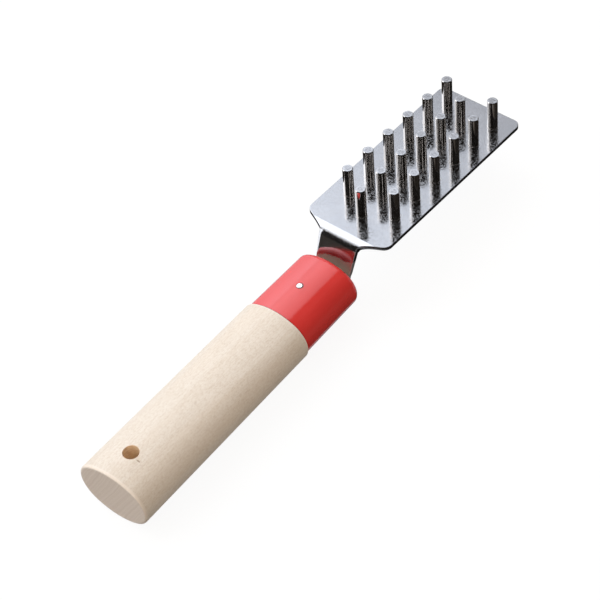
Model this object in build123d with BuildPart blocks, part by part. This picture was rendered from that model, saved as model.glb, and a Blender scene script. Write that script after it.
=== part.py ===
from build123d import *
import math
import os

os.makedirs("parts", exist_ok=True)

# Hand scraper: an oval wooden handle, a red plastic ferrule and a cranked
# sheet-steel head set with three staggered rows of blunt steel pins.
#
# Frame, in millimetres: the origin is the centre of the hanging hole, +X runs
# along the handle towards the head, +Z is the side the pins stand on and the
# XZ plane is the plane of symmetry.

# Handle grip
BUTT_X = -12.0          # flat end of the handle
JOINT_X = 76.7          # shoulder where grip and ferrule meet
BUTT_A, BUTT_B, BUTT_R = 15.1, 11.5, 10.4   # oval: half width, half thickness, end radius
GRIP_SLIM = 0.6         # the grip is this much slimmer all round at the shoulder
BUTT_ROUND = 1.0
SHOULDER_ROUND = 0.5
HANG_R = 3.0            # hanging hole

# Ferrule
FERRULE_X = 107.4       # front face
FER_A, FER_B, FER_R = 13.8, 10.4, 9.3       # oval at the shoulder
FER_SLIM = 0.48         # the ferrule is this much slimmer all round at the front
FER_ROUND = 2.0
SPIGOT_A, SPIGOT_B, SPIGOT_R = 10.4, 7.0, 6.2   # spigot of the grip inside the ferrule
SPIGOT_X = 106.4        # end of the spigot, a little inside the front face

# Cross pin through ferrule, spigot and tang
NAIL_X = 91.3
NAIL_R = 1.25
NAIL_HALF = 10.15       # surface of the ferrule at the pin
NAIL_DOME = 0.3         # the ends stand this much proud
NAIL_ROUND = 0.45

# Head: one strip of sheet, cranked upwards in front of the ferrule
T = 1.6                 # sheet thickness
PITCH_DEG = 3.75        # the plate leans this much nose down
PLATE_X, PLATE_Z = 133.96, 14.19  # top of the plate at the first outer pins
PLATE_TIP = 67.6        # from there to the tip edge
PLATE_HALF = 18.35      # half width of the plate
TIP_R = 3.0
ROOT_R = 3.5
SHOULDER_A = (-19.15, 8.5)        # shoulder line, neck end
SHOULDER_B = (-14.27, PLATE_HALF) # shoulder line, side end
NECK_HALF = 8.5         # half width of the crank at the plate
NECK_LOW_HALF = 7.8     # the same just above the ferrule
NECK_R = 2.0
NECK_SLOPE = 70.0       # angle of the crank from the plate
NECK_CORNER = -19.5     # where plate and crank would meet, plate coordinates
CRANK_R = 4.5           # outside radius of the upper bend
CRANK_LOW_R = 2.5       # inside radius of the lower bend
TANG_HALF = 7.5
TANG_END = 56.0
TANG_POINT = 5.0        # length of the tapered end of the tang
EDGE_BREAK = 0.15       # broken edges of the plate

# Scraping pins
PIN_PITCH = 12.0
ROW_GAP = 10.5
PIN_R = 2.0
PIN_H = 12.7
PIN_CHAMFER = 0.25
PIN_NECK_R = 1.3        # reduced end riveted through the plate
PIN_TAIL_R = 2.0        # countersunk riveted tail on the underside
PIN_TAIL_H = 0.7
PIN_TAIL_DOME = 0.15

theta = math.radians(PITCH_DEG)
plate_plane = Plane(
    origin=(PLATE_X, 0, PLATE_Z),
    x_dir=(math.cos(theta), 0, -math.sin(theta)),
    z_dir=(math.sin(theta), 0, math.cos(theta)),
)


def oval_joints(a, b, r):
    # A four-arc oval: ends of radius r, flat sides of the radius that meets
    # them tangentially. Returns the point where side and end arc meet.
    side = (a * a + b * b - 2 * a * r) / (2 * (b - r))
    return (
        a - r + r * (a - r) / (side - r),
        r * (side - b) / (side - r),
    )


def section_plane(x):
    # Looks along +X, local x is +Y and local y is +Z.
    return Plane(origin=(x, 0, 0), x_dir=(0, 1, 0), z_dir=(1, 0, 0))


def plate_xz(x, z):
    # A point of the plate's own frame, in the XZ plane of the object.
    return (
        PLATE_X + x * math.cos(theta) + z * math.sin(theta),
        PLATE_Z - x * math.sin(theta) + z * math.cos(theta),
    )


# Side profile of the strip. The top line runs from the end of the tang along
# the handle axis, up the crank and out along the plate.
slope = math.radians(NECK_SLOPE - PITCH_DEG)
crank_top = plate_xz(NECK_CORNER, 0)
tang_top_z = T / 2
crank_low = (
    crank_top[0] - (crank_top[1] - tang_top_z) / math.tan(slope),
    tang_top_z,
)
top_line = [(TANG_END, tang_top_z), crank_low, crank_top, plate_xz(PLATE_TIP, 0)]


def below(points, t):
    # The same open polyline, t further down its right-hand side.
    normals = []
    for (x0, z0), (x1, z1) in zip(points, points[1:]):
        length = math.hypot(x1 - x0, z1 - z0)
        normals.append(((z1 - z0) / length, -(x1 - x0) / length))
    out = [(points[0][0] + t * normals[0][0], points[0][1] + t * normals[0][1])]
    for (px, pz), (ax, az), (bx, bz) in zip(points[1:-1], normals, normals[1:]):
        k = t / (1 + ax * bx + az * bz)
        out.append((px + k * (ax + bx), pz + k * (az + bz)))
    out.append((points[-1][0] + t * normals[-1][0], points[-1][1] + t * normals[-1][1]))
    return out


under_line = below(top_line, T)

# Pins stand on the plate in two outer rows and a middle row half a pitch back.
pin_spots = {}
for i in range(6):
    pin_spots[f"pin_left_{i + 1}"] = (i * PIN_PITCH, ROW_GAP)
    pin_spots[f"pin_middle_{i + 1}"] = ((i - 0.5) * PIN_PITCH, 0.0)
    pin_spots[f"pin_right_{i + 1}"] = (i * PIN_PITCH, -ROW_GAP)


def pin_plane(x, y):
    # Local x is the plate's own x and local y is the pin's axis.
    return Plane(
        origin=plate_plane.from_local_coords((x, y, 0)),
        x_dir=plate_plane.x_dir,
        z_dir=-plate_plane.y_dir,
    )


def pin_axis(x, y):
    return Axis(plate_plane.from_local_coords((x, y, 0)), plate_plane.z_dir)


BACK = -90.0            # far end of the plan outline, in the plate's frame
steep_plane = Plane(
    origin=(crank_top[0], 0, crank_top[1]),
    x_dir=(-math.cos(slope), 0, -math.sin(slope)),
    z_dir=(-math.sin(slope), 0, math.cos(slope)),
)

with BuildPart() as head_plate:
    with BuildSketch(Plane.XZ):
        with BuildLine():
            FilletPolyline(*top_line, radius=[CRANK_LOW_R, CRANK_R])
            FilletPolyline(*under_line, radius=[CRANK_LOW_R + T, CRANK_R - T])
            Line(top_line[0], under_line[0])
            Line(top_line[-1], under_line[-1])
        make_face()
    extrude(amount=PLATE_HALF + 1, both=True)
    # Plan outline: rectangle with rounded tip corners, angled shoulders and neck.
    with BuildSketch(plate_plane.offset(-45)) as plan:
        with BuildLine():
            Polyline(
                (BACK, -NECK_HALF),
                (SHOULDER_A[0], -SHOULDER_A[1]),
                (SHOULDER_B[0], -SHOULDER_B[1]),
                (PLATE_TIP, -PLATE_HALF),
                (PLATE_TIP, PLATE_HALF),
                SHOULDER_B,
                SHOULDER_A,
                (BACK, NECK_HALF),
                close=True,
            )
        make_face()
        for corner_x, radius in (
            (SHOULDER_A[0], NECK_R), (SHOULDER_B[0], ROOT_R), (PLATE_TIP, TIP_R),
        ):
            fillet(
                plan.vertices().filter_by(lambda v: abs(v.X - corner_x) < 0.01),
                radius,
            )
    extrude(amount=60, mode=Mode.INTERSECT)
    # The crank narrows towards the ferrule and ends in the width of the tang.
    with BuildSketch(steep_plane.offset(-5)):
        with BuildLine():
            Polyline(
                (3.2, NECK_HALF), (12.2, NECK_LOW_HALF), (14.0, TANG_HALF),
                (18.0, TANG_HALF), (18.0, 30.0), (3.2, 30.0),
                close=True,
            )
        make_face()
        mirror(about=Plane.XZ)
    extrude(amount=8, mode=Mode.SUBTRACT)
    # Tang, with a tapered end.
    with BuildSketch(Plane.XY.offset(-6)):
        with BuildLine():
            Polyline(
                (TANG_END - 1, 2.5), (TANG_END, 2.5),
                (TANG_END + TANG_POINT, TANG_HALF), (crank_low[0] + 3.5, TANG_HALF),
                (crank_low[0] + 3.5, 30.0), (TANG_END - 1, 30.0),
                close=True,
            )
        make_face()
        mirror(about=Plane.XZ)
    extrude(amount=8.4, mode=Mode.SUBTRACT)

    # Holes for the riveted pins: straight through, countersunk underneath.
    for x, y in pin_spots.values():
        with BuildSketch(pin_plane(x, y)):
            with BuildLine():
                Polyline(
                    (0, -T), (PIN_TAIL_R, -T), (PIN_NECK_R, -T + PIN_TAIL_H),
                    (PIN_NECK_R, 0), (0, 0), close=True,
                )
            make_face()
        revolve(axis=pin_axis(x, y), mode=Mode.SUBTRACT)
    # Hole for the cross pin.
    with BuildSketch(Plane.XY.offset(-3)):
        with Locations((NAIL_X, 0)):
            Circle(NAIL_R)
    extrude(amount=6, mode=Mode.SUBTRACT)

    # The sheared edges of the plate are broken, above and below.
    for side in (1, -1):
        flat = (
            head_plate.faces()
            .filter_by(lambda f: f.geom_type == GeomType.PLANE)
            .filter_by(lambda f: side * f.normal_at().dot(plate_plane.z_dir) > 0.999)
            .sort_by(SortBy.AREA)[-1]
        )
        rim = [
            e for e in flat.outer_wire().edges()
            if abs(plate_plane.to_local_coords(e.center()).Y) > 1.0
            or plate_plane.to_local_coords(e.center()).X > PLATE_TIP - 1
        ]
        fillet(rim, EDGE_BREAK)

# Pins: chamfered blunt top, reduced neck through the plate, riveted tail.
for pin_name, (x, y) in pin_spots.items():
    with BuildPart() as scraper_pin:
        with BuildSketch(pin_plane(x, y)):
            with BuildLine():
                Polyline(
                    (0, -T - PIN_TAIL_DOME), (PIN_TAIL_R * 0.5, -T - PIN_TAIL_DOME * 0.8),
                    (PIN_TAIL_R, -T), (PIN_NECK_R, -T + PIN_TAIL_H),
                    (PIN_NECK_R, 0), (PIN_R, 0), (PIN_R, PIN_H - PIN_CHAMFER),
                    (PIN_R - PIN_CHAMFER, PIN_H), (0, PIN_H), close=True,
                )
            make_face()
        revolve(axis=pin_axis(x, y))
    scraper_pin.part.label = pin_name
    export_step(scraper_pin.part, f"parts/{pin_name}.step")

# Ferrule: tapering oval sleeve, rounded at the front, straight oval bore.
with BuildPart() as ferrule:
    with BuildSketch(section_plane(JOINT_X)):
        with BuildLine():
            jx, jy = oval_joints(FER_A, FER_B, FER_R)
            ThreePointArc((-jx, jy), (0, FER_B), (jx, jy))
            ThreePointArc((jx, jy), (FER_A, 0), (jx, -jy))
            ThreePointArc((jx, -jy), (0, -FER_B), (-jx, -jy))
            ThreePointArc((-jx, -jy), (-FER_A, 0), (-jx, jy))
        make_face()
    extrude(
        amount=FERRULE_X - JOINT_X,
        taper=math.degrees(math.atan(FER_SLIM / (FERRULE_X - JOINT_X))),
    )
    fillet(ferrule.faces().sort_by(Axis.X)[-1].edges(), FER_ROUND)
    with BuildSketch(section_plane(JOINT_X)):
        with BuildLine():
            jx, jy = oval_joints(SPIGOT_A, SPIGOT_B, SPIGOT_R)
            ThreePointArc((-jx, jy), (0, SPIGOT_B), (jx, jy))
            ThreePointArc((jx, jy), (SPIGOT_A, 0), (jx, -jy))
            ThreePointArc((jx, -jy), (0, -SPIGOT_B), (-jx, -jy))
            ThreePointArc((-jx, -jy), (-SPIGOT_A, 0), (-jx, jy))
        make_face()
    extrude(amount=FERRULE_X - JOINT_X + 1, mode=Mode.SUBTRACT)
    with BuildSketch(Plane.XY.offset(-20)):
        with Locations((NAIL_X, 0)):
            Circle(NAIL_R)
    extrude(amount=40, mode=Mode.SUBTRACT)

# Grip: oval wooden handle with a spigot for the ferrule, a slot for the tang,
# a cross hole and a hanging hole through its flat sides.
with BuildPart() as handle_grip:
    with BuildSketch(section_plane(BUTT_X)):
        with BuildLine():
            jx, jy = oval_joints(BUTT_A, BUTT_B, BUTT_R)
            ThreePointArc((-jx, jy), (0, BUTT_B), (jx, jy))
            ThreePointArc((jx, jy), (BUTT_A, 0), (jx, -jy))
            ThreePointArc((jx, -jy), (0, -BUTT_B), (-jx, -jy))
            ThreePointArc((-jx, -jy), (-BUTT_A, 0), (-jx, jy))
        make_face()
    extrude(
        amount=JOINT_X - BUTT_X,
        taper=math.degrees(math.atan(GRIP_SLIM / (JOINT_X - BUTT_X))),
    )
    fillet(handle_grip.faces().sort_by(Axis.X)[0].edges(), BUTT_ROUND)
    fillet(handle_grip.faces().sort_by(Axis.X)[-1].edges(), SHOULDER_ROUND)
    with BuildSketch(section_plane(JOINT_X)):
        with BuildLine():
            jx, jy = oval_joints(SPIGOT_A, SPIGOT_B, SPIGOT_R)
            ThreePointArc((-jx, jy), (0, SPIGOT_B), (jx, jy))
            ThreePointArc((jx, jy), (SPIGOT_A, 0), (jx, -jy))
            ThreePointArc((jx, -jy), (0, -SPIGOT_B), (-jx, -jy))
            ThreePointArc((-jx, -jy), (-SPIGOT_A, 0), (-jx, jy))
        make_face()
    extrude(amount=SPIGOT_X - JOINT_X)
    with BuildSketch(Plane.XY.offset(-T / 2)):
        with BuildLine():
            Polyline(
                (SPIGOT_X + 2, TANG_HALF), (TANG_END + TANG_POINT, TANG_HALF),
                (TANG_END, 2.5), (TANG_END, -2.5),
                (TANG_END + TANG_POINT, -TANG_HALF), (SPIGOT_X + 2, -TANG_HALF),
                close=True,
            )
        make_face()
    extrude(amount=T, mode=Mode.SUBTRACT)
    with BuildSketch(Plane.XY.offset(-20)):
        with Locations((NAIL_X, 0)):
            Circle(NAIL_R)
        Circle(HANG_R)
    extrude(amount=40, mode=Mode.SUBTRACT)

# Cross pin: plain rod with rounded ends that stand a little proud.
with BuildPart() as cross_pin:
    with BuildSketch(Plane.XY.offset(-NAIL_HALF - NAIL_DOME)):
        with Locations((NAIL_X, 0)):
            Circle(NAIL_R)
    extrude(amount=2 * (NAIL_HALF + NAIL_DOME))
    fillet(cross_pin.edges().filter_by(GeomType.CIRCLE), NAIL_ROUND)

head_plate.part.label = "head_plate"
ferrule.part.label = "ferrule"
handle_grip.part.label = "handle_grip"
cross_pin.part.label = "cross_pin"
export_step(head_plate.part, "parts/head_plate.step")
export_step(ferrule.part, "parts/ferrule.step")
export_step(handle_grip.part, "parts/handle_grip.step")
export_step(cross_pin.part, "parts/cross_pin.step")
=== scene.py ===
import bpy
from mathutils import Matrix, Vector


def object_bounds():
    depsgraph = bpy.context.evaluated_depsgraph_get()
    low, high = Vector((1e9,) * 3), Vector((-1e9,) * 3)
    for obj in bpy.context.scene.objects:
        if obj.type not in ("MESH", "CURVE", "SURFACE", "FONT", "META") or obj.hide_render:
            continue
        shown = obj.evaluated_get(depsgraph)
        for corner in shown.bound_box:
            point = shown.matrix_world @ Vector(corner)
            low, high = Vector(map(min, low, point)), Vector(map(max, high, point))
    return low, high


# Looks for a hand scraper: oval beech handle, glossy red ferrule, cranked
# stainless plate and 18 blunt steel pins. Everything is in metres in the CAD
# frame: origin at the hanging hole, +X towards the head, pins on +Z.

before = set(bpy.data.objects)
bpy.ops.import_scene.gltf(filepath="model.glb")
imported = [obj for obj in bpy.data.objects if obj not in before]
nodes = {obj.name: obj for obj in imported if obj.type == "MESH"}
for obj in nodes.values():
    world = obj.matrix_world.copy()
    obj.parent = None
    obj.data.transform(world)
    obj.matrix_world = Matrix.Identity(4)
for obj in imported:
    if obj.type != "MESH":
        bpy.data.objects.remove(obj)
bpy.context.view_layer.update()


# ---------------------------------------------------------------- node helpers

def add(tree, kind, inputs=None, **props):
    node = tree.nodes.new(kind)
    for key, value in props.items():
        setattr(node, key, value)
    for key, value in (inputs or {}).items():
        if isinstance(value, bpy.types.NodeSocket):
            tree.links.new(value, node.inputs[key])
        else:
            node.inputs[key].default_value = value
    return node


def calc(tree, op, a, b=0.0, c=None, clamp=False):
    inputs = {0: a, 1: b}
    if c is not None:
        inputs[2] = c
    return add(tree, "ShaderNodeMath", inputs, operation=op, use_clamp=clamp).outputs[0]


def ramp(tree, value, low, high, out_low=0.0, out_high=1.0, kind="SMOOTHSTEP"):
    node = add(
        tree, "ShaderNodeMapRange",
        {"Value": value, "From Min": low, "From Max": high,
         "To Min": out_low, "To Max": out_high},
        interpolation_type=kind, clamp=True,
    )
    return node.outputs["Result"]


def window(tree, value, a, b, c, d):
    # 0 below a, 1 between b and c, 0 above d.
    return calc(tree, "MULTIPLY", ramp(tree, value, a, b), ramp(tree, value, c, d, 1.0, 0.0))


def product(tree, *values):
    out = values[0]
    for value in values[1:]:
        out = calc(tree, "MULTIPLY", out, value)
    return out


def scaled(tree, vector, scale):
    return add(
        tree, "ShaderNodeVectorMath", {0: vector, 1: scale}, operation="MULTIPLY"
    ).outputs[0]


def noise(tree, vector, scale=1.0, detail=2.0, roughness=0.5, distortion=0.0):
    return add(
        tree, "ShaderNodeTexNoise",
        {"Vector": vector, "Scale": scale, "Detail": detail,
         "Roughness": roughness, "Distortion": distortion},
        noise_dimensions="3D",
    ).outputs["Fac"]


def mix(tree, factor, a, b, kind="MIX"):
    node = add(tree, "ShaderNodeMix", data_type="RGBA", blend_type=kind)
    for index, value in ((0, factor), (6, a), (7, b)):
        if isinstance(value, bpy.types.NodeSocket):
            tree.links.new(value, node.inputs[index])
        else:
            node.inputs[index].default_value = value if index == 0 else (*value, 1.0)
    return node.outputs[2]


def bump(tree, height, distance, strength=1.0, normal=None):
    inputs = {"Height": height, "Distance": distance, "Strength": strength}
    if normal is not None:
        inputs["Normal"] = normal
    return add(tree, "ShaderNodeBump", inputs).outputs["Normal"]


def new_material(name):
    material = bpy.data.materials.new(name)
    material.use_nodes = True
    tree = material.node_tree
    tree.nodes.clear()
    shader = add(tree, "ShaderNodeBsdfPrincipled")
    output = add(tree, "ShaderNodeOutputMaterial")
    tree.links.new(shader.outputs[0], output.inputs["Surface"])
    # Position in the CAD frame, in millimetres.
    coords = add(tree, "ShaderNodeTexCoord").outputs["Object"]
    mm = scaled(tree, coords, (1000.0, 1000.0, 1000.0))
    return material, tree, shader, mm


def feed(tree, shader, **sockets):
    for key, value in sockets.items():
        socket = shader.inputs[key.replace("_", " ")]
        if isinstance(value, bpy.types.NodeSocket):
            tree.links.new(value, socket)
        else:
            socket.default_value = value


def split(tree, vector):
    node = add(tree, "ShaderNodeSeparateXYZ", {0: vector})
    return node.outputs[0], node.outputs[1], node.outputs[2]


# ------------------------------------------------------------------------ wood

MARKS = ((-1.2, -4.3, 0.36, 1.0, 1.0), (28.8, -4.2, 0.6, 0.42, 0.3))   # x, y, half sizes and depth

def beech():
    material, tree, shader, mm = new_material("beech")
    x, y, z = split(tree, mm)

    # Growth layers run nearly across the thickness, round a pith far to one side.
    drift = noise(tree, scaled(tree, mm, (0.012, 0.05, 0.05)), detail=2.0)
    dy = calc(tree, "SUBTRACT", y, 255.0)
    dz = calc(tree, "SUBTRACT", z, 160.0)
    radius = calc(
        tree, "SQRT",
        calc(tree, "ADD", calc(tree, "MULTIPLY", dy, dy), calc(tree, "MULTIPLY", dz, dz)),
    )
    radius = calc(tree, "ADD", radius, calc(tree, "MULTIPLY", drift, 3.0))
    lay = add(tree, "ShaderNodeCombineXYZ", {0: radius, 1: calc(tree, "MULTIPLY", x, 0.004), 2: 0.0}).outputs[0]
    rings = noise(tree, lay, scale=0.85, detail=3.0, roughness=0.6)
    late = ramp(tree, rings, 0.44, 0.66)

    # Short ray flecks, fine fibres, small pores and a soft unevenness.
    fibre = noise(tree, scaled(tree, mm, (0.16, 2.1, 2.1)), detail=4.0, roughness=0.65)
    flecks = noise(tree, scaled(tree, mm, (0.95, 1.6, 1.6)), detail=4.0, roughness=0.72)
    pores = noise(tree, scaled(tree, mm, (0.7, 4.2, 4.2)), detail=2.0)
    pore_mask = ramp(tree, pores, 0.66, 0.75)
    bands = noise(tree, scaled(tree, mm, (0.012, 0.17, 0.17)), detail=2.0)
    cloud = noise(tree, scaled(tree, mm, (0.05, 0.10, 0.10)), detail=2.0)

    pale, warm, brown = (0.858, 0.788, 0.690), (0.815, 0.722, 0.605), (0.60, 0.46, 0.34)
    colour = mix(tree, calc(tree, "MULTIPLY", ramp(tree, bands, 0.38, 0.66), 0.65), pale, warm)
    colour = mix(tree, calc(tree, "MULTIPLY", late, 0.30), colour, warm)
    colour = mix(tree, calc(tree, "MULTIPLY", ramp(tree, fibre, 0.42, 0.66), 0.30), colour, (0.70, 0.585, 0.465))
    colour = mix(tree, calc(tree, "MULTIPLY", ramp(tree, flecks, 0.48, 0.64), 0.44), colour, (0.66, 0.55, 0.43))
    colour = mix(tree, calc(tree, "MULTIPLY", ramp(tree, flecks, 0.46, 0.32), 0.50), colour, (0.925, 0.872, 0.785))
    colour = mix(tree, calc(tree, "MULTIPLY", pore_mask, 0.22), colour, brown)
    colour = mix(tree, calc(tree, "MULTIPLY", ramp(tree, cloud, 0.42, 0.68), 0.18), colour, (0.90, 0.81, 0.70))

    # Painted highlight: the rounded edges of the butt and of the front shoulder at the ferrule are painted a little
    # paler.
    painted_rim_highlight = calc(
        tree, "ADD",
        window(tree, x, -11.97, -11.80, -11.15, -10.7),
        window(tree, x, 75.7, 76.15, 76.62, 76.7),
    )
    colour = mix(tree, calc(tree, "MULTIPLY", painted_rim_highlight, 0.55), colour, (0.95, 0.86, 0.76))

    # End grain on the butt: greyer, with the growth layers showing as streaks.
    end = ramp(tree, x, -11.93, -11.80, 1.0, 0.0)
    speckle = noise(tree, scaled(tree, mm, (2.0, 3.4, 3.4)), detail=3.0)
    streak = noise(tree, lay, scale=1.25, detail=2.0, roughness=0.6)
    grain = mix(tree, ramp(tree, streak, 0.32, 0.68), (0.83, 0.765, 0.705), (0.735, 0.665, 0.60))
    grain = mix(tree, calc(tree, "MULTIPLY", ramp(tree, rings, 0.35, 0.65), 0.25), grain, (0.76, 0.69, 0.61))
    grain = mix(tree, calc(tree, "MULTIPLY", ramp(tree, speckle, 0.45, 0.72), 0.22), grain, (0.52, 0.45, 0.39))
    colour = mix(tree, end, colour, grain)

    # The drilled hanging hole is browner inside and slightly scorched.
    bore = calc(tree, "SQRT", calc(tree, "ADD", calc(tree, "MULTIPLY", x, x), calc(tree, "MULTIPLY", y, y)))
    inside = ramp(tree, bore, 3.005, 3.05, 1.0, 0.0)
    turn = noise(tree, scaled(tree, mm, (0.5, 0.5, 1.8)), detail=3.0)
    scorch = mix(tree, ramp(tree, turn, 0.35, 0.65), (0.95, 0.76, 0.55), (0.80, 0.60, 0.40))
    colour = mix(tree, inside, colour, scorch)
    tear = noise(tree, mm, scale=0.9, detail=3.0)
    lip = calc(tree, "MULTIPLY", window(tree, bore, 3.0, 3.05, 3.15, 3.6), ramp(tree, tear, 0.48, 0.60))
    colour = mix(tree, calc(tree, "MULTIPLY", lip, 0.5), colour, (0.62, 0.46, 0.31))
    halo = window(tree, bore, 3.0, 3.1, 3.3, 4.0)
    colour = mix(tree, calc(tree, "MULTIPLY", halo, 0.30), colour, (0.93, 0.83, 0.72))

    # Two small marks on the upper side: a nick beside the hole, a pin knot.
    upper = ramp(tree, z, 0.0, 1.0)
    marks = None
    for mark_x, mark_y, long_x, long_y, depth in MARKS:
        ex = calc(tree, "DIVIDE", calc(tree, "SUBTRACT", x, mark_x), long_x)
        ey = calc(tree, "DIVIDE", calc(tree, "SUBTRACT", y, mark_y), long_y)
        spot = calc(tree, "ADD", calc(tree, "MULTIPLY", ex, ex), calc(tree, "MULTIPLY", ey, ey))
        spot = calc(tree, "ADD", spot, calc(tree, "MULTIPLY", calc(tree, "SUBTRACT", tear, 0.5), 1.6))
        spot = ramp(tree, spot, 0.35, 1.1, depth, 0.0)
        marks = spot if marks is None else calc(tree, "MAXIMUM", marks, spot)
    marks = calc(tree, "MULTIPLY", marks, upper)
    colour = mix(tree, calc(tree, "MULTIPLY", marks, 0.78), colour, (0.42, 0.30, 0.20))

    rough = ramp(tree, fibre, 0.3, 0.75, 0.50, 0.66, "LINEAR")
    relief = calc(
        tree, "SUBTRACT",
        calc(tree, "ADD", calc(tree, "MULTIPLY", fibre, 0.7), calc(tree, "MULTIPLY", late, 0.15)),
        calc(tree, "ADD", calc(tree, "MULTIPLY", pore_mask, 0.6), marks),
    )
    feed(
        tree, shader, Base_Color=colour, Roughness=rough,
        Normal=bump(tree, relief, 0.00004),
    )
    shader.inputs["IOR"].default_value = 1.45
    shader.inputs["Specular IOR Level"].default_value = 0.45
    shader.inputs["Coat Weight"].default_value = 0.0
    return material


# ----------------------------------------------------------------- red plastic

def red_plastic():
    material, tree, shader, mm = new_material("red_plastic")
    x, y, z = split(tree, mm)
    flow = noise(tree, scaled(tree, mm, (0.05, 0.16, 0.16)), detail=2.0)
    peel = noise(tree, mm, scale=0.55, detail=2.0)
    dust = noise(tree, mm, scale=5.0, detail=1.0)
    hair = noise(tree, scaled(tree, mm, (0.25, 6.0, 6.0)), detail=1.0)
    colour = mix(tree, ramp(tree, flow, 0.3, 0.7), (0.780, 0.052, 0.046), (0.735, 0.046, 0.041))
    colour = mix(tree, calc(tree, "MULTIPLY", ramp(tree, dust, 0.70, 0.78), 0.30), colour, (0.86, 0.16, 0.14))
    # Dirt caught in the seam against the wood and round the cross pin.
    seam = ramp(tree, x, 76.8, 77.15, 1.0, 0.0)
    px = calc(tree, "SUBTRACT", x, 91.3)
    ring = calc(tree, "SQRT", calc(tree, "ADD", calc(tree, "MULTIPLY", px, px), calc(tree, "MULTIPLY", y, y)))
    caught = calc(tree, "MAXIMUM", seam, calc(tree, "MULTIPLY", ramp(tree, ring, 1.3, 1.65, 1.0, 0.0), 0.8))
    caught = calc(tree, "MULTIPLY", caught, ramp(tree, peel, 0.3, 0.6, 0.5, 1.0))
    colour = mix(tree, caught, colour, (0.20, 0.035, 0.03))
    rough = calc(tree, "ADD", ramp(tree, peel, 0.3, 0.7, 0.10, 0.15, "LINEAR"),
                 ramp(tree, hair, 0.62, 0.74, 0.0, 0.10, "LINEAR"))
    height = calc(tree, "ADD", calc(tree, "MULTIPLY", peel, 1.0), calc(tree, "MULTIPLY", hair, 0.06))
    feed(
        tree, shader, Base_Color=colour, Roughness=rough,
        Normal=bump(tree, height, 0.000012),
    )
    shader.inputs["IOR"].default_value = 1.60
    shader.inputs["Specular IOR Level"].default_value = 0.5
    return material


# ----------------------------------------------------------------------- steel

PITCH = 0.0654498   # the plate leans 3.75 degrees nose down
ROOT_X, TOP_Z = 132.742, 22.922   # first outer pins and plate top, in the plate's frame


def plate_frame(tree, mm):
    # The same point with Z along the pins and X along the plate.
    return add(
        tree, "ShaderNodeVectorRotate",
        {"Vector": mm, "Axis": (0.0, 1.0, 0.0), "Angle": -PITCH},
        rotation_type="AXIS_ANGLE",
    ).outputs[0]


def pin_distance(tree, x, y):
    # Distance to the nearest pin's axis: three rows, the middle one half a pitch back.
    out = None
    for shift, row in ((0.0, 10.5), (6.0, 0.0)):
        dx = calc(tree, "SUBTRACT", x, ROOT_X - shift - 6.0)
        dx = calc(tree, "SUBTRACT", calc(tree, "FLOORED_MODULO", dx, 12.0), 6.0)
        dy = calc(tree, "SUBTRACT", calc(tree, "ABSOLUTE", y), row)
        away = calc(tree, "SQRT", calc(tree, "ADD", calc(tree, "MULTIPLY", dx, dx), calc(tree, "MULTIPLY", dy, dy)))
        out = away if out is None else calc(tree, "MINIMUM", out, away)
    return out


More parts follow.
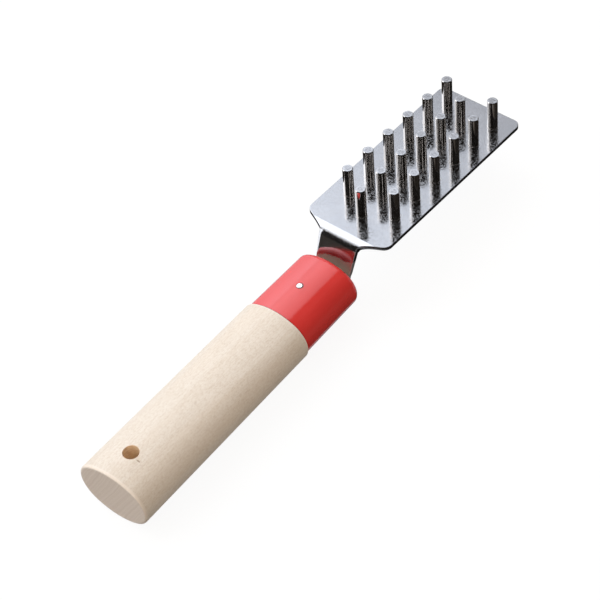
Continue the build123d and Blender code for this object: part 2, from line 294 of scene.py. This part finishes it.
def plate_steel():
    material, tree, shader, mm = new_material("plate_steel")
    local = plate_frame(tree, mm)
    x, y, z = split(tree, local)
    # Rolled sheet, dull in fine specks, with a few long hair scratches.
    specks = noise(tree, local, scale=1.6, detail=3.0, roughness=0.6)
    grain = noise(tree, local, scale=2.6, detail=3.0, roughness=0.65)
    rolled = noise(tree, scaled(tree, local, (0.35, 3.5, 1.0)), detail=3.0)
    blotch = noise(tree, local, scale=0.07, detail=2.0)
    slant = add(
        tree, "ShaderNodeVectorRotate",
        {"Vector": local, "Axis": (0.0, 0.0, 1.0), "Angle": 0.6},
        rotation_type="AXIS_ANGLE",
    ).outputs[0]
    scratch = ramp(tree, noise(tree, scaled(tree, slant, (0.06, 4.5, 1.0)), detail=1.0), 0.70, 0.76)

    colour = mix(tree, ramp(tree, blotch, 0.35, 0.65), (0.475, 0.475, 0.485), (0.445, 0.447, 0.458))
    colour = mix(tree, calc(tree, "MULTIPLY", ramp(tree, grain, 0.52, 0.72), 0.10), colour, (0.38, 0.375, 0.37))
    colour = mix(tree, calc(tree, "MULTIPLY", scratch, 0.30), colour, (0.58, 0.58, 0.59))

    # A bright, dull ring where each pin is set in, on the plate alone.
    away = pin_distance(tree, x, y)
    flat = calc(tree, "MULTIPLY", ramp(tree, z, TOP_Z - 0.3, TOP_Z - 0.1), window(tree, x, ROOT_X - 9.0, ROOT_X - 8.5, ROOT_X + 63.0, ROOT_X + 63.5))
    collar = product(tree, window(tree, away, 1.9, 2.0, 2.15, 2.5), flat, ramp(tree, specks, 0.3, 0.6, 0.4, 1.0))
    colour = mix(tree, calc(tree, "MULTIPLY", collar, 0.55), colour, (0.62, 0.60, 0.58))

    # Painted shade: the edge faces of the sheet that face the sides are painted near black.
    nx, ny, nz = split(tree, add(tree, "ShaderNodeNewGeometry").outputs["True Normal"])
    painted_edge_shade = product(
        tree, ramp(tree, calc(tree, "ABSOLUTE", nz), 0.40, 0.75, 1.0, 0.0),
        ramp(tree, calc(tree, "ABSOLUTE", ny), 0.30, 0.50), 0.85,
    )
    colour = mix(tree, painted_edge_shade, colour, (0.12, 0.115, 0.11))

    # Painted reflection: low on the crank, in front of the ferrule, the steel is painted a pale warm beige and made
    # duller, standing in for the reflection of the wood's lit front end.
    cad_x, cad_y, cad_z = split(tree, mm)
    low_down = calc(tree, "ADD", cad_z, calc(tree, "MULTIPLY", cad_y, 0.25))
    low_down = calc(tree, "ADD", low_down, calc(tree, "MULTIPLY", calc(tree, "SUBTRACT", blotch, 0.5), 4.0))
    crank_painted_reflection = product(tree, ramp(tree, low_down, 6.3, 7.6, 1.0, 0.0), ramp(tree, cad_x, 114.0, 118.0, 1.0, 0.0))
    colour = mix(tree, calc(tree, "MULTIPLY", crank_painted_reflection, 0.8), colour, (0.66, 0.57, 0.50))

    dull = ramp(tree, specks, 0.42, 0.62)
    rough = calc(
        tree, "ADD", ramp(tree, dull, 0.0, 1.0, 0.085, 0.27, "LINEAR"),
        calc(tree, "ADD", calc(tree, "MULTIPLY", scratch, 0.06), calc(tree, "MULTIPLY", collar, 0.20)),
    )
    # The crank is smoother, and its long edges are rolled over a little.
    crank = calc(
        tree, "MULTIPLY", ramp(tree, z, TOP_Z - 1.6, TOP_Z - 0.9, 1.0, 0.0),
        ramp(tree, x, ROOT_X - 16.0, ROOT_X - 14.0, 1.0, 0.0),
    )
    rough = calc(tree, "MULTIPLY", rough, ramp(tree, crank, 0.0, 1.0, 1.0, 0.60, "LINEAR"))
    rough = calc(tree, "ADD", rough, calc(tree, "MULTIPLY", crank_painted_reflection, 0.33))
    over = calc(tree, "MAXIMUM", calc(tree, "SUBTRACT", calc(tree, "ABSOLUTE", y), 7.1), 0.0)
    rolled_edge = product(tree, calc(tree, "MULTIPLY", over, over), crank, -0.11)
    height = calc(
        tree, "ADD", calc(tree, "MULTIPLY", grain, 1.0),
        calc(tree, "ADD", calc(tree, "MULTIPLY", rolled, 0.25), calc(tree, "MULTIPLY", scratch, -0.3)),
    )
    feed(
        tree, shader, Base_Color=colour, Roughness=rough, Metallic=1.0,
        Normal=bump(tree, height, 0.000008, normal=bump(tree, rolled_edge, 0.001)),
    )
    return material


def pin_steel():
    material, tree, shader, mm = new_material("pin_steel")
    local = plate_frame(tree, mm)
    x, y, z = split(tree, local)
    # Drawn rod: lengthwise draw lines on the sides, also painted strongly pale and dark brown as painted reflection
    # streaks; a ground spot on top.
    draw_and_reflection_streaks = noise(tree, scaled(tree, local, (1.1, 1.1, 0.02)), detail=1.0, roughness=0.5)
    fine = noise(tree, scaled(tree, local, (4.0, 4.0, 0.04)), detail=1.0)
    ground = noise(tree, local, scale=2.4, detail=3.0, roughness=0.65)
    # Painted reflection: the side streaks swing between pale grey and dark brown, on top of real draw lines.
    colour = mix(tree, ramp(tree, draw_and_reflection_streaks, 0.38, 0.60), (0.70, 0.67, 0.635), (0.42, 0.39, 0.36))
    end = ramp(tree, z, TOP_Z + 12.5, TOP_Z + 12.6)
    face = mix(tree, ramp(tree, ground, 0.40, 0.66), (0.50, 0.50, 0.51), (0.42, 0.42, 0.43))
    away = pin_distance(tree, x, y)
    ring = window(tree, away, 1.20, 1.45, 1.60, 1.80)
    spot = calc(tree, "MULTIPLY", window(tree, away, 0.35, 0.55, 0.70, 0.95), ramp(tree, ground, 0.40, 0.60))
    face = mix(tree, calc(tree, "MULTIPLY", ring, 0.55), face, (0.66, 0.66, 0.67))
    face = mix(tree, calc(tree, "MULTIPLY", spot, 0.6), face, (0.30, 0.30, 0.31))
    colour = mix(tree, end, colour, face)
    # A dull, pale foot where the pin meets the plate.
    foot = calc(tree, "MULTIPLY", window(tree, z, TOP_Z - 0.1, TOP_Z, TOP_Z + 0.15, TOP_Z + 0.95), ramp(tree, ground, 0.35, 0.6, 0.15, 1.0))
    colour = mix(tree, calc(tree, "MULTIPLY", foot, 0.6), colour, (0.64, 0.60, 0.56))
    rough = calc(
        tree, "ADD", ramp(tree, fine, 0.3, 0.7, 0.04, 0.09, "LINEAR"),
        calc(tree, "ADD", calc(tree, "MULTIPLY", foot, 0.30), calc(tree, "MULTIPLY", end, 0.10)),
    )
    height = calc(tree, "ADD", draw_and_reflection_streaks, product(tree, ground, end, 0.3))
    feed(
        tree, shader, Base_Color=colour, Roughness=rough, Metallic=1.0,
        Normal=bump(tree, height, 0.000022),
    )
    return material


def cross_pin_steel():
    material, tree, shader, mm = new_material("cross_pin_steel")
    x, y, z = split(tree, mm)
    dent = noise(tree, mm, scale=1.3, detail=2.0)
    speck = noise(tree, mm, scale=4.0, detail=2.0)
    px = calc(tree, "SUBTRACT", x, 91.3)
    away = calc(tree, "SQRT", calc(tree, "ADD", calc(tree, "MULTIPLY", px, px), calc(tree, "MULTIPLY", y, y)))
    away = calc(tree, "ADD", away, calc(tree, "MULTIPLY", calc(tree, "SUBTRACT", dent, 0.5), 0.9))
    colour = mix(tree, ramp(tree, speck, 0.4, 0.7), (0.92, 0.91, 0.90), (0.80, 0.79, 0.79))
    colour = mix(tree, ramp(tree, away, 1.0, 1.3), colour, (0.40, 0.34, 0.38))
    feed(
        tree, shader, Base_Color=colour, Metallic=1.0,
        Roughness=ramp(tree, speck, 0.3, 0.7, 0.30, 0.45, "LINEAR"),
        Normal=bump(tree, dent, 0.00030),
    )
    return material


finishes = {
    "handle_grip": ("wood", beech()),
    "ferrule": ("red_plastic", red_plastic()),
    "head_plate": ("plate_steel", plate_steel()),
    "cross_pin": ("cross_pin_steel", cross_pin_steel()),
}
pins = pin_steel()
for name, piece in nodes.items():
    slot_name, material = finishes.get(name, ("pin_steel", pins))
    piece.data.materials.clear()
    piece.data.materials.append(material)


# ----------------------------------------------------------------------- floor

low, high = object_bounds()
floor_mesh = bpy.data.meshes.new("floor")
half = 4.0
floor_mesh.from_pydata(
    [(-half, -half, 0), (half, -half, 0), (half, half, 0), (-half, half, 0)],
    [], [(0, 1, 2, 3)],
)
floor = bpy.data.objects.new("floor", floor_mesh)
floor.location = (0.1, 0.0, low.z - 0.0002)
bpy.context.scene.collection.objects.link(floor)
floor.visible_glossy = False
floor.visible_diffuse = False
floor.visible_shadow = False

material = bpy.data.materials.new("floor")
material.use_nodes = True
tree = material.node_tree
tree.nodes.clear()
coords = add(tree, "ShaderNodeTexCoord").outputs["Object"]
paper = noise(tree, coords, scale=900.0, detail=3.0)
tone = mix(tree, paper, (0.095, 0.095, 0.095), (0.11, 0.11, 0.11))
matt = add(tree, "ShaderNodeBsdfDiffuse", {"Color": tone})
glow = add(tree, "ShaderNodeEmission", {"Color": (1.0, 1.0, 1.0, 1.0), "Strength": 0.915})
lit = add(tree, "ShaderNodeAddShader", {0: matt.outputs[0], 1: glow.outputs[0]})
# Seen from underneath, the floor is clear, so the underside can be looked at.
clear = add(tree, "ShaderNodeBsdfTransparent")
side = add(tree, "ShaderNodeNewGeometry").outputs["Backfacing"]
both = add(tree, "ShaderNodeMixShader", {0: side, 1: lit.outputs[0], 2: clear.outputs[0]})
output = add(tree, "ShaderNodeOutputMaterial")
tree.links.new(both.outputs[0], output.inputs["Surface"])
floor_mesh.materials.append(material)


# ---------------------------------------------------------------- studio light
# A light tent: a wide panel overhead, ending just past the object on the near
# side, and a wall of light on the far side that fades downwards. The near side
# of the room is dark in reflections, with a soft warm fill on matt surfaces.

world = bpy.data.worlds.new("studio")
bpy.context.scene.world = world
world.use_nodes = True
tree = world.node_tree
tree.nodes.clear()
way = add(tree, "ShaderNodeTexCoord").outputs["Generated"]
x, y, z = split(tree, way)
up = calc(tree, "MAXIMUM", z, 0.02)
far = calc(tree, "MAXIMUM", y, 0.02)
u, v = calc(tree, "DIVIDE", x, up), calc(tree, "DIVIDE", y, up)
s, t = calc(tree, "DIVIDE", x, far), calc(tree, "DIVIDE", z, far)
above = ramp(tree, z, 0.0, 0.04)
beyond = ramp(tree, y, 0.0, 0.04)

edge_right = calc(
    tree, "ADD",
    ramp(tree, u, 0.42, 0.95, 0.46, 0.0),
    ramp(tree, u, 0.78, 1.32, 0.54, 0.0),
)
slanted = calc(tree, "ADD", u, calc(tree, "MULTIPLY", calc(tree, "SUBTRACT", v, 0.65), 1.2))
panel = product(
    tree, above, edge_right,
    ramp(tree, slanted, -0.90, -0.32),
    window(tree, v, -0.135, -0.105, 1.5, 1.8),
    ramp(tree, v, -0.12, 0.75, 1.40, 3.25, "LINEAR"),
)
wall = product(
    tree, beyond,
    window(tree, s, -1.3, -1.1, 0.72, 0.97),
    window(tree, t, -0.55, -0.35, 0.95, 1.1),
    ramp(tree, t, -0.1, 0.8, 0.85, 2.8, "LINEAR"),
)
wall_left = product(
    tree, beyond,
    window(tree, s, -1.3, -1.1, -0.5, -0.1),
    window(tree, t, -0.60, -0.45, 0.3, 0.6),
    2.0,
)
light = calc(tree, "MAXIMUM", calc(tree, "MAXIMUM", panel, wall), wall_left)

# What glossy surfaces see of the dark part of the room.
toward = calc(tree, "ADD", calc(tree, "MULTIPLY", x, -0.66), calc(tree, "MULTIPLY", y, -0.75))
table = calc(tree, "ADD", product(tree, calc(tree, "MAXIMUM", toward, 0.0), ramp(tree, z, -0.55, -0.2), 0.20), 0.022)
dark = calc(
    tree, "ADD",
    calc(tree, "MULTIPLY", ramp(tree, z, -0.03, 0.0, 1.0, 0.0), table),
    calc(tree, "MULTIPLY", ramp(tree, z, -0.03, 0.0), 0.022),
)
# Grey walls and a grey floor round the rest, so that steel isn't black from other sides.
behind = calc(
    tree, "MAXIMUM",
    calc(tree, "MULTIPLY", ramp(tree, x, -0.30, -0.10, 1.0, 0.0), ramp(tree, y, -0.10, 0.05)),
    calc(tree, "MULTIPLY", window(tree, x, 0.35, 0.41, 0.54, 0.62), ramp(tree, y, -0.20, -0.05, 1.0, 0.0)),
)
grey = calc(
    tree, "ADD",
    calc(tree, "MULTIPLY", window(tree, z, 0.06, 0.14, 0.34, 0.48), 0.60),
    calc(tree, "ADD",
         calc(tree, "MULTIPLY", window(tree, z, -0.66, -0.58, -0.16, -0.06), 0.58),
         calc(tree, "MULTIPLY", ramp(tree, z, -0.92, -0.80, 1.0, 0.0), 0.60)),
)
grey = calc(tree, "MULTIPLY", grey, calc(tree, "SUBTRACT", 1.0, behind))
# What lights matt surfaces: a dim room, a spill past the panel, and a fill from below.
room = product(
    tree, above,
    ramp(tree, x, -1.0, -0.1, 1.80, 0.08),
    ramp(tree, z, 0.0, 0.7, 1.0, 0.65, "LINEAR"),
)
spill = product(
    tree, above,
    window(tree, v, -1.0, -0.45, -0.15, -0.10),
    window(tree, u, -1.0, -0.7, 0.8, 1.1),
    1.12,
)
fill = product(
    tree, ramp(tree, z, -0.03, 0.0, 1.0, 0.0),
    ramp(tree, x, -0.1, 0.8, 0.04, 0.9, "LINEAR"),
)
front = product(tree, ramp(tree, x, 0.4, 0.9), ramp(tree, z, 0.2, 0.6, 1.0, 0.0), 0.8)

path = add(tree, "ShaderNodeLightPath")
matt_ray = path.outputs["Is Diffuse Ray"]
main = calc(tree, "MAXIMUM", calc(tree, "MULTIPLY", panel, 0.80), product(tree, wall, ramp(tree, t, -0.05, 0.2), 0.36))
soft = calc(tree, "MAXIMUM", main, calc(tree, "ADD", calc(tree, "ADD", room, spill), calc(tree, "MAXIMUM", fill, front)))
glossy = calc(tree, "MAXIMUM", light, calc(tree, "MAXIMUM", dark, grey))
strength = calc(
    tree, "ADD",
    calc(tree, "MULTIPLY", soft, matt_ray),
    calc(tree, "MULTIPLY", glossy, calc(tree, "SUBTRACT", 1.0, matt_ray)),
)
tint = mix(tree, ramp(tree, u, 0.3, 0.95), (0.98, 1.0, 1.05), (0.93, 0.985, 1.09))
tint = mix(tree, matt_ray, tint, (0.955, 1.0, 1.07))
cool = calc(tree, "MAXIMUM", light, product(tree, grey, 2.4, calc(tree, "SUBTRACT", 1.0, matt_ray)))
tint = mix(tree, ramp(tree, cool, 0.3, 1.0), (1.0, 0.87, 0.75), tint)
studio = add(tree, "ShaderNodeBackground", {"Color": tint, "Strength": strength})
pale = add(tree, "ShaderNodeBackground", {"Color": (1.0, 1.0, 1.0, 1.0), "Strength": 1.0})
seen = add(
    tree, "ShaderNodeMixShader",
    {0: path.outputs["Is Camera Ray"], 1: studio.outputs[0], 2: pale.outputs[0]},
)
output = add(tree, "ShaderNodeOutputWorld")
tree.links.new(seen.outputs[0], output.inputs["Surface"])

# ---------------------------------------------------------------------- camera

camera = bpy.data.cameras.new("camera")
camera.sensor_width = 36.0
camera.lens = 142.976
camera.clip_start, camera.clip_end = 0.05, 20.0
eye = bpy.data.objects.new("camera", camera)
bpy.context.scene.collection.objects.link(eye)
right = Vector((0.62354177, -0.77535629, -0.10009137))
down = Vector((-0.62718944, -0.41968657, -0.65612239))
ahead = Vector((0.46672162, 0.47189597, -0.74798738))
turn = Matrix((right, -down, -ahead)).transposed()
eye.matrix_world = Matrix.Translation((-0.307764, -0.402535, 0.641394)) @ turn.to_4x4()
bpy.context.scene.camera = eye
bpy.context.scene.view_settings.view_transform = "Standard"
bpy.context.scene.view_settings.look = "None"
